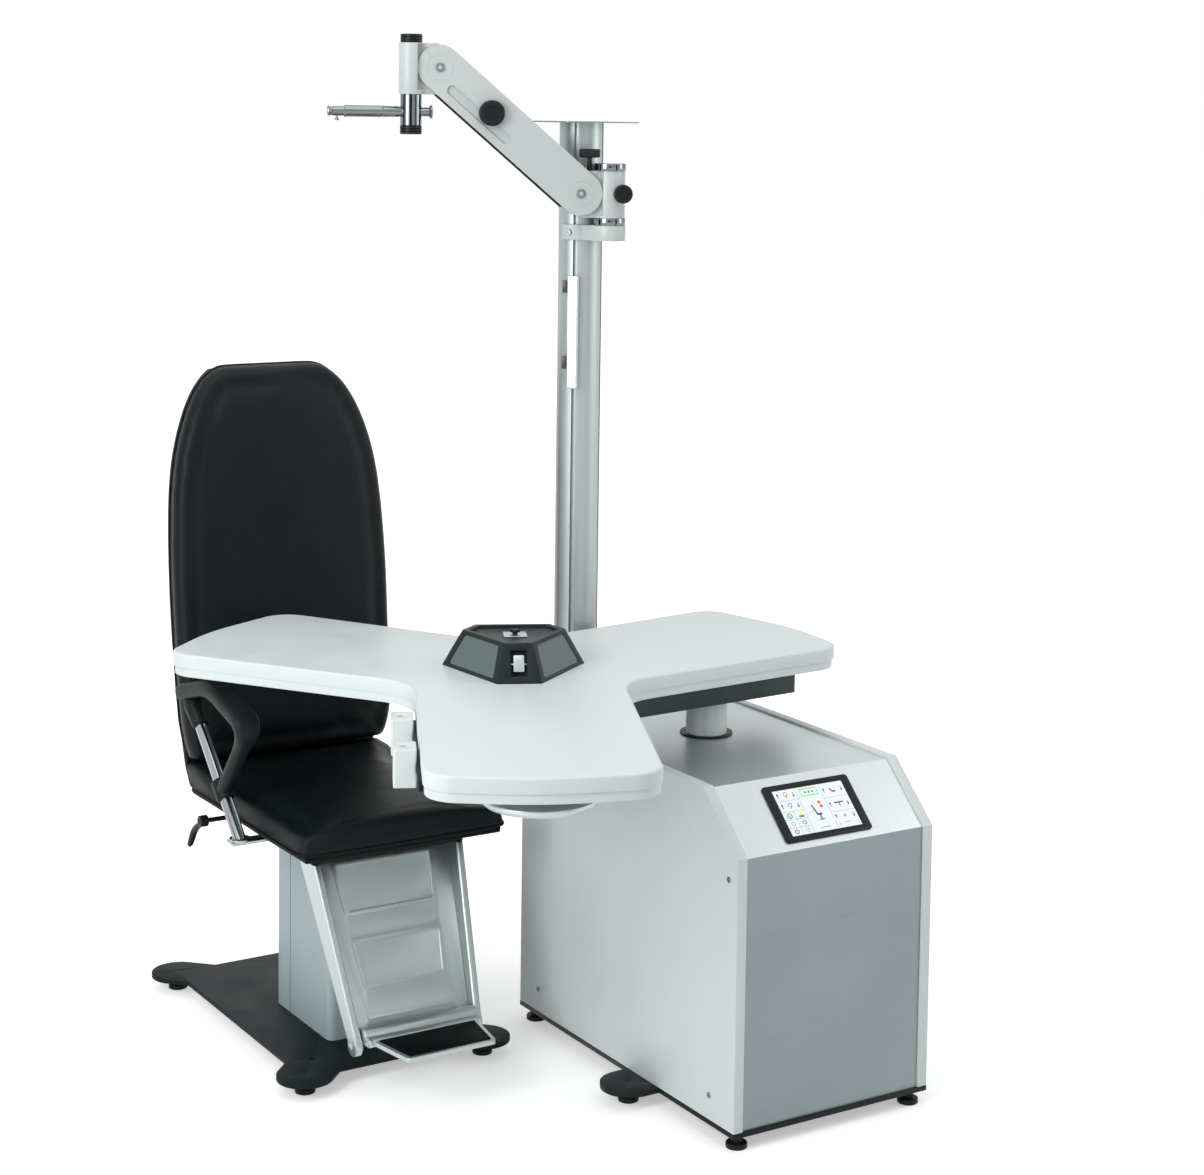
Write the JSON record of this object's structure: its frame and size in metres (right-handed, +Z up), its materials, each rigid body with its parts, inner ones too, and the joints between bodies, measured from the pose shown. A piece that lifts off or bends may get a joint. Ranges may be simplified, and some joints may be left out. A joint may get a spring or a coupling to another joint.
{
  "type": "ophthalmic examination unit",
  "caption": "Eye examination unit: lifting chair with footrest beside a console with a lobed rotating table, touch screen, pole, shelf, reading light and jointed arm.",
  "frame": {"origin": "on the floor under the console's front left foot", "axes": "+X right along the console's front, +Y back, +Z up"},
  "size_m": [1.238, 1.7305, 2.121],
  "materials": {
    "white_board": "white laminate, satin",
    "white_paint": "smooth white paint, satin",
    "column_paint": "light grey powder coat",
    "dark_paint": "dark grey powder coat, fine texture",
    "black_paint": "black paint, semi-gloss",
    "brushed_sheet": "brushed along the height",
    "chrome_plate": "bright chrome",
    "anodised": "clear anodised, satin",
    "leather_black": "smooth black upholstery leather",
    "soft_black": "moulded soft black, fine grain",
    "black_plastic": "black moulded plastic, satin",
    "shell_plastic": "black shell, fine texture",
    "hub_plastic": "dark grey moulded plastic",
    "panel_plastic": "grey matt inset",
    "screen_glass": "lit display behind glass",
    "lamp_diffuser": "opal diffuser, lit",
    "brown_plastic": "dark brown clip"
  },
  "bodies": {
    "stand": {"console_base_plate": "black_paint", "console_feet": "soft_black", "side_panel_left": "white_board", "side_panel_right": "white_board", "front_panel": "brushed_sheet", "sloped_panel": "brushed_sheet", "top_panel": "brushed_sheet", "back_panel": "brushed_sheet", "screen_bezel": "black_plastic", "screen_face": "screen_glass", "stand_screws": "chrome_plate", "inner_supports": "black_paint", "pole": "anodised", "shelf_plate": "anodised", "light_housing": "anodised", "light_diffuser": "lamp_diffuser", "light_clips": "brown_plastic", "arm_clamp": "white_paint", "chair_base_plate": "dark_paint", "chair_feet": "soft_black", "chair_column": "column_paint"},
    "chair_lift": {"lift_mast": "black_paint", "seat_carrier": "black_paint", "rail_left": "anodised", "rail_right": "anodised", "footrest_panel": "anodised", "nose_bar": "anodised"},
    "foot_plate": {"foot_tray": "anodised", "foot_mat": "soft_black"},
    "seat": {"seat_frame": "dark_paint", "seat_shell": "shell_plastic", "seat_cushion": "leather_black", "back_cushion": "leather_black", "armrest_bars": "chrome_plate", "arm_tube_left": "chrome_plate", "arm_tube_right": "chrome_plate", "arm_pad_left": "soft_black", "arm_pad_right": "soft_black"},
    "swivel_lock": {"lock_lever": "black_plastic"},
    "table_lift": {"lift_tube": "white_paint"},
    "beam": {"table_arm": "dark_paint"},
    "table": {"table_top": "white_board", "table_rim": "white_board", "lobe_disc": "anodised", "holder_rail": "dark_paint", "tool_holders": "white_board", "hub_body": "hub_plastic", "hub_panels": "panel_plastic", "hub_plate": "brushed_sheet"},
    "hub_stick": {"hub_knob": "black_plastic"},
    "hub_switch": {"hub_rocker": "brushed_sheet"},
    "arm_pivot": {"pivot_body": "white_paint", "pivot_rings": "chrome_plate"},
    "top_knob": {"post_knob": "black_plastic"},
    "side_knob": {"pivot_knob": "black_plastic"},
    "arm": {"arm_beam": "white_paint"},
    "beam_knob": {"arm_knob": "black_plastic"},
    "head": {"head_block": "white_paint"},
    "head_spindle": {"head_rod": "chrome_plate", "head_caps": "black_plastic"}
  },
  "joints": [
    {"name": "chair_height", "type": "slide", "parent": "stand", "child": "chair_lift", "axis": [0, 0, 1], "range_m": [-0.06, 0.03]},
    {"name": "foot_fold", "type": "hinge", "parent": "chair_lift", "child": "foot_plate", "pos_m": [-0.397, 0.5215, 0.127], "axis": [-1, 0, 0], "range_deg": [0, 85]},
    {"name": "seat_swivel", "type": "hinge", "parent": "chair_lift", "child": "seat", "pos_m": [-0.397, 0.906, 0.46], "axis": [0, 0, 1], "range_deg": [-20, 25]},
    {"name": "lock_turn", "type": "hinge", "parent": "seat", "child": "swivel_lock", "pos_m": [-0.55, 1.01, 0.47], "axis": [1, 0, 0], "range_deg": [-20, 20]},
    {"name": "table_height", "type": "slide", "parent": "stand", "child": "table_lift", "axis": [0, 0, 1], "range_m": [0, 0.17]},
    {"name": "table_swing", "type": "hinge", "parent": "table_lift", "child": "beam", "pos_m": [0.218, 0.44, 0.79], "axis": [0, 0, 1], "range_deg": [0, 40]},
    {"name": "table_turn", "type": "hinge", "parent": "beam", "child": "table", "pos_m": [-0.262, 0.412, 0.85], "axis": [0, 0, 1], "range_deg": [-15, 2]},
    {"name": "knob_tilt", "type": "hinge", "parent": "table", "child": "hub_stick", "pos_m": [-0.262, 0.412, 0.94], "axis": [0.8988, -0.4384, 0], "range_deg": [-12, 12], "stiffness_Nm_per_rad": 0.3},
    {"name": "rocker_tilt", "type": "hinge", "parent": "table", "child": "hub_switch", "pos_m": [-0.31186, 0.30977, 0.90626], "axis": [0.8988, -0.4384, 0], "range_deg": [-6, 6], "stiffness_Nm_per_rad": 0.3},
    {"name": "arm_swing", "type": "hinge", "parent": "stand", "child": "arm_pivot", "pos_m": [0.088, 0.64, 1.79], "axis": [0, 0, 1], "range_deg": [0, 80]},
    {"name": "post_turn", "type": "hinge", "parent": "arm_pivot", "child": "top_knob", "pos_m": [0.04665, 0.65505, 1.85], "axis": [0, 0, 1], "range_deg": [-90, 90]},
    {"name": "side_turn", "type": "hinge", "parent": "arm_pivot", "child": "side_knob", "pos_m": [0.09995, 0.61437, 1.797], "axis": [-0.342, -0.9397, 0], "range_deg": [-90, 90]},
    {"name": "arm_lift", "type": "hinge", "parent": "arm_pivot", "child": "arm", "pos_m": [0.02692, 0.66223, 1.797], "axis": [0.342, 0.9397, 0], "range_deg": [-28, 5]},
    {"name": "arm_knob_turn", "type": "hinge", "parent": "arm", "child": "beam_knob", "pos_m": [-0.15914, 0.70867, 1.96148], "axis": [-0.342, -0.9397, 0], "range_deg": [-90, 90]},
    {"name": "head_level", "type": "hinge", "parent": "arm", "child": "head", "pos_m": [-0.25311, 0.76415, 2.054], "axis": [0.342, 0.9397, 0], "range_deg": [-5, 28]},
    {"name": "head_turn", "type": "hinge", "parent": "head", "child": "head_spindle", "pos_m": [-0.30667, 0.78365, 2.05], "axis": [0, 0, 1], "range_deg": [-60, 60]}
  ],
  "couplings": [
    {"joint": "head_level", "follows": "arm_lift", "ratio": -1}
  ]
}
